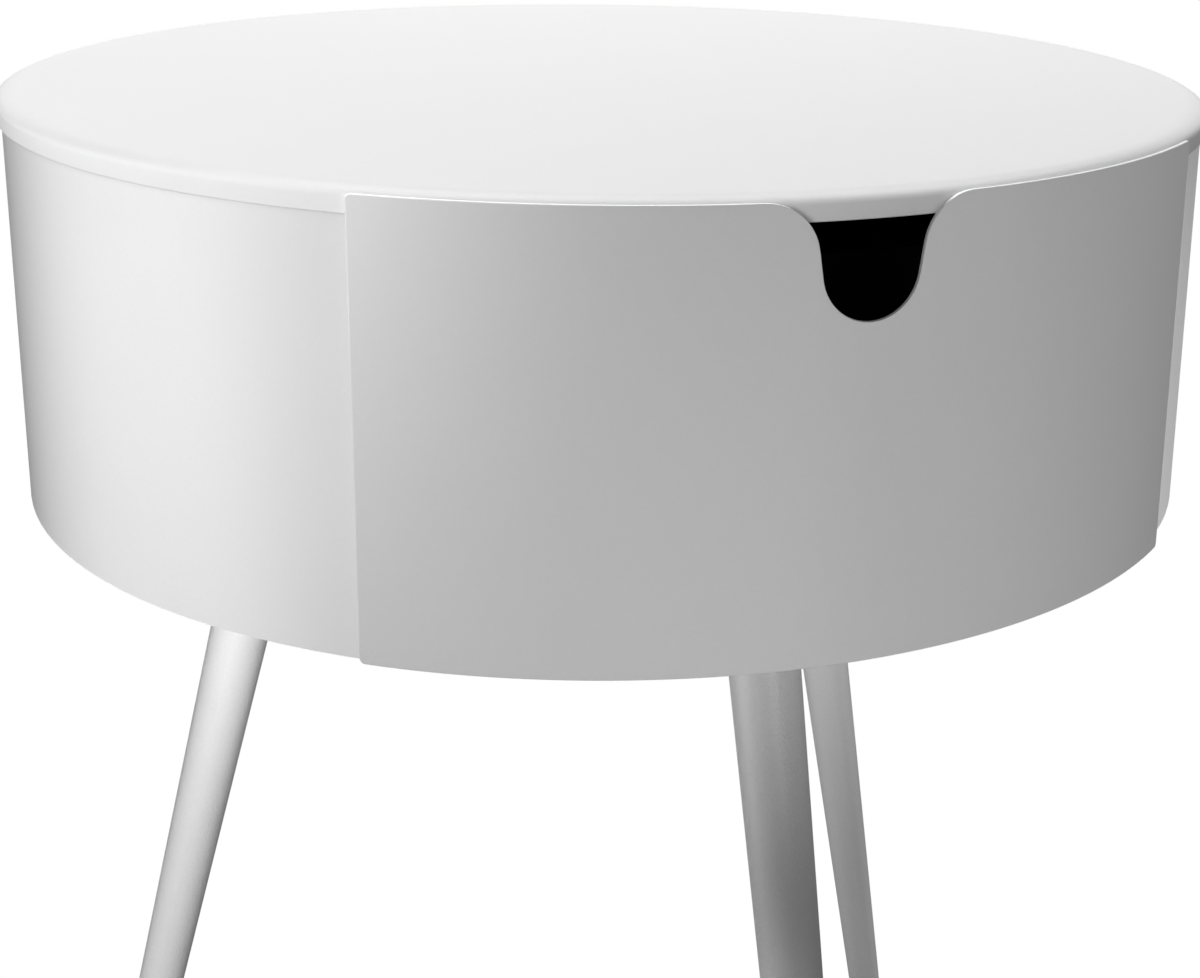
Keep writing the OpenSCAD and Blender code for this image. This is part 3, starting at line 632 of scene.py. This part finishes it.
def pan_screw(grip):
    """A pan-head screw. Its head sits on the plane z = 0 and its thread reaches down to -grip."""
    thread = thread_rings(SHANK_RADIUS, -grip, 0.0)
    part = turned_part("pan_screw", thread + [(HEAD_SEAT_RADIUS, 0.0)] + dome)
    for turn in (0.0, math.pi / 2):
        bpy.ops.object.select_all(action="DESELECT")
        bpy.ops.mesh.primitive_cube_add(size=1, location=(0, 0, HEAD_HEIGHT), rotation=(0, 0, turn))
        bit = bpy.context.object
        bit.scale = (2 * RECESS_REACH, RECESS_WIDTH, 2 * RECESS_DEPTH)
        bpy.ops.object.transform_apply(location=True, rotation=True, scale=True)
        bpy.ops.object.mode_set(mode="EDIT")
        bpy.ops.mesh.select_mode(type="FACE")
        bpy.ops.mesh.select_all(action="DESELECT")
        bpy.ops.object.mode_set(mode="OBJECT")
        # The bit is narrowed at its lower end, so that the recess tapers.
        for face in bit.data.polygons:
            face.select = face.normal.z < -0.5
        bpy.ops.object.mode_set(mode="EDIT")
        bpy.ops.transform.resize(value=(RECESS_TAPER, RECESS_TAPER, 1),
                                 center_override=(0, 0, HEAD_HEIGHT - RECESS_DEPTH))
        bpy.ops.object.mode_set(mode="OBJECT")
        carve(part, bit, "DIFFERENCE")
    return part


FIXING_SHARES = (0.0, 0.36 / 0.82, 1.0)
TRAY_GRIP = 0.0022
RIVET_GRIP = 0.0027


def along_slide(low, high):
    """The three fixing places along a slide, from the box of its screws."""
    first, last = low.y + HEAD_RADIUS, high.y - HEAD_RADIUS
    return [first + (last - first) * share for share in FIXING_SHARES]


def heads_outwards(low, high):
    """Spots for the fixings through both slides, heads outwards, from the box of them all."""
    return [((side * (high.x - HEAD_HEIGHT), y, (low.z + high.z) / 2), (side, 0, 0))
            for side in (-1, 1) for y in along_slide(low, high)]


low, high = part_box("bracket_screws")
seat = high.z - HEAD_HEIGHT
set_copies(pan_screw(seat - low.z), "pan_bracket_screws",
           [((side * (high.x - HEAD_RADIUS), y, seat), (0, 0, 1))
            for side in (-1, 1) for y in along_slide(low, high)],
           "bracket_screws", "frame")

set_copies(pan_screw(TRAY_GRIP), "slide_to_tray_screws",
           heads_outwards(*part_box("inner_slide_screws")), "inner_slide_screws", "drawer")

low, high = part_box("tray_screws")
set_copies(pan_screw(high.y - HEAD_HEIGHT - low.y), "tray_bracket_screws",
           [((side * (high.x - HEAD_RADIUS), low.y + HEAD_HEIGHT, z), (0, -1, 0))
            for side in (-1, 1) for z in (low.z + HEAD_RADIUS, high.z - HEAD_RADIUS)],
           "tray_screws", "drawer")

shank = [(SHANK_RADIUS, -RIVET_GRIP), (SHANK_RADIUS, 0.0), (HEAD_SEAT_RADIUS, 0.0)]
set_copies(turned_part("rivet", shank + dome), "slide_rivets",
           heads_outwards(*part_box("outer_slide_rivets")), "outer_slide_rivets", "frame")


# Drawer tray and its brackets
# A tray folded from steel sheet, with its upper rim turned in. Two folded brackets, screwed to its
# front wall, carry the curved front. All are coloured matt near black, which is painted shade: it
# makes the pocket behind the finger notch read black.
# Painted shade: this near-black colour on the tray and brackets stands in for the dark pocket behind
# the finger notch.
POCKET_SHADE_BLACK = (0.006, 0.006, 0.006)
pocket_shade_coat = powder_coat("pocket_shade_black_coat", POCKET_SHADE_BLACK, roughness=0.6, peel_size=0.0014,
                         peel_height=0.00003, mottle=0.1)
dress(pocket_shade_coat, "drawer_tray", "front_bracket_left", "front_bracket_right")


# Drawer front
# A blank of steel sheet, powder coated like the drum. It is cut flat with its finger notch and
# round corners, its edges are broken, and then it is rolled to the drum's curve.
FRONT_RADIUS = 0.224
FRONT_SHEET = 0.0015
FRONT_HALF_TURN = math.radians(39.8)
FRONT_LOW = 0.4128
FRONT_TOP = 0.5585
FRONT_CORNER = 0.0018
NOTCH_DEPTH = 0.037
NOTCH_RADIUS = 0.016
SHOULDER_RADIUS = 0.017
NOTCH_FLARE = 0.001
EDGE_BREAK = 0.0004
ROLL_STEP = math.radians(1.1)
NOTCH_STEPS = 18
SHOULDER_STEPS = 16
CORNER_STEPS = 6
BREAK_ABOVE = math.radians(60)
EDGE_CUT = 0.004
LEVEL_CUTS = (FRONT_LOW + EDGE_CUT, 0.44, 0.47, 0.5, 0.519, 0.53, FRONT_TOP - EDGE_CUT)

shoulder_x = NOTCH_RADIUS + SHOULDER_RADIUS + NOTCH_FLARE
shoulder_z = FRONT_TOP - SHOULDER_RADIUS
bottom_z = FRONT_TOP - NOTCH_DEPTH + NOTCH_RADIUS
climb = shoulder_z - bottom_z
span = math.hypot(shoulder_x, climb)
touch = math.atan2(climb, shoulder_x) - math.acos((NOTCH_RADIUS + SHOULDER_RADIUS) / span)
corner_x = FRONT_RADIUS * FRONT_HALF_TURN - FRONT_CORNER


def flat_arc(x, z, radius, from_turn, to_turn, steps, unroll=False):
    """Points along an arc on the flat blank. The notch is cut straight through the rolled sheet,
    so its width is measured round the curve."""
    points = []
    for k in range(steps + 1):
        turn = from_turn + (to_turn - from_turn) * k / steps
        px = x + radius * math.cos(turn)
        if unroll:
            px = FRONT_RADIUS * math.asin(px / FRONT_RADIUS)
        points.append(Vector((px, 0.0, z + radius * math.sin(turn))))
    return points


quarter = math.pi / 2
right_side = flat_arc(0.0, bottom_z, NOTCH_RADIUS, -quarter, touch, NOTCH_STEPS, True)
right_side += flat_arc(shoulder_x, shoulder_z, SHOULDER_RADIUS, math.pi + touch, quarter,
                       SHOULDER_STEPS, True)
right_side += flat_arc(corner_x, FRONT_TOP - FRONT_CORNER, FRONT_CORNER, quarter, 0, CORNER_STEPS)
right_side += flat_arc(corner_x, FRONT_LOW + FRONT_CORNER, FRONT_CORNER, 0, -quarter, CORNER_STEPS)
# The notch's lowest point lies on the middle line, so it isn't mirrored.
left_side = [Vector((-p.x, 0.0, p.z)) for p in reversed(right_side) if abs(p.x) > SHORTEST_EDGE]
rolled_front = draw_line("rolled_front", right_side + left_side)
bpy.ops.mesh.select_all(action="SELECT")
bpy.ops.mesh.edge_face_add()
roll_cuts = int(FRONT_HALF_TURN / ROLL_STEP)
for k in range(-roll_cuts, roll_cuts + 1):
    bpy.ops.mesh.select_all(action="SELECT")
    bpy.ops.mesh.bisect(plane_co=(FRONT_RADIUS * ROLL_STEP * k, 0, 0), plane_no=(1, 0, 0))
for height in LEVEL_CUTS:
    bpy.ops.mesh.select_all(action="SELECT")
    bpy.ops.mesh.bisect(plane_co=(0, 0, height), plane_no=(0, 0, 1))
bpy.ops.object.mode_set(mode="OBJECT")

# The cut blank gets its thickness and its broken edges while it is flat, and is rolled last.
sheet = rolled_front.modifiers.new("sheet", "SOLIDIFY")
sheet.thickness = FRONT_SHEET
sheet.offset = -1
broken_edge = rolled_front.modifiers.new("broken_edge", "BEVEL")
broken_edge.width = EDGE_BREAK
broken_edge.segments = 3
broken_edge.limit_method = "ANGLE"
broken_edge.angle_limit = BREAK_ABOVE
roll = rolled_front.modifiers.new("roll", "SIMPLE_DEFORM")
roll.deform_method = "BEND"
roll.deform_axis = "Z"
roll.angle = 2 * FRONT_HALF_TURN
for step in ("sheet", "broken_edge", "roll"):
    bpy.ops.object.modifier_apply(modifier=step)
rolled_front.location = (0, DRUM_AXIS_Y - FRONT_RADIUS, 0)
bpy.ops.object.transform_apply(location=True)
bpy.ops.object.shade_smooth()
even = rolled_front.modifiers.new("even", "WEIGHTED_NORMAL")
even.keep_sharp = True
bpy.ops.object.modifier_apply(modifier="even")
rolled_front.data.materials.append(white_coat)
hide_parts("drawer_front")
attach(rolled_front, "drawer")


# Front studs and nuts
# Four threaded studs of zinc-plated steel are welded behind the front. Hex nuts on them hold it to
# its two brackets.
FRONT_STUD_LENGTH = 0.009
FRONT_STUD_TURN = math.radians(32.23)
FRONT_NUT_REACH = 0.2208
nuts_low, nuts_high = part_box("front_nuts")


def behind_front(reach):
    """The four fixing spots behind the front, at a distance from the drum's axis."""
    return [round_drum(side * FRONT_STUD_TURN, reach, z)
            for side in (-1, 1) for z in (nuts_low.z + NUT_CORNERS, nuts_high.z - NUT_CORNERS)]


set_copies(threaded_stud("front_stud", FRONT_STUD_LENGTH), "front_studs",
           behind_front(FRONT_RADIUS - FRONT_SHEET), "drawer_front", "drawer")
set_copies(hex_nut(), "front_hex_nuts", behind_front(FRONT_NUT_REACH), "front_nuts", "drawer")


# Rubber bumpers
# Moulded black rubber: blocks in the slides' rear ends that stop the drawer softly, and round pads
# behind the drawer front's edges that meet the wall as it shuts.
RUBBER_BLACK = (0.02, 0.02, 0.02)
rubber = powder_coat("black_rubber", RUBBER_BLACK, roughness=0.75, peel_size=0.002,
                     peel_height=0.00004, mottle=0.1)
dress(rubber, "slide_bumpers", "front_bumpers")


# Flags
# The flags hold each lamp to its own pieces: the lid, the drum with all that it holds, the drawer
# front, or one leg with its glide.
for piece in scene.objects:
    if piece.type != "MESH" or piece == floor:
        continue
    if piece == rolled_front:
        parts = ("front",)
    elif piece == pressed_lid:
        parts = ("lid",)
    elif piece.name in ("leg_left", "leg_front", "leg_right"):
        parts = ("legs", piece.name)
    elif piece.name.startswith("glide_"):
        parts = ("legs", piece.name.replace("glide", "leg"))
    else:
        parts = ("drum",)
    for part in parts:
        lit[part].objects.link(piece)
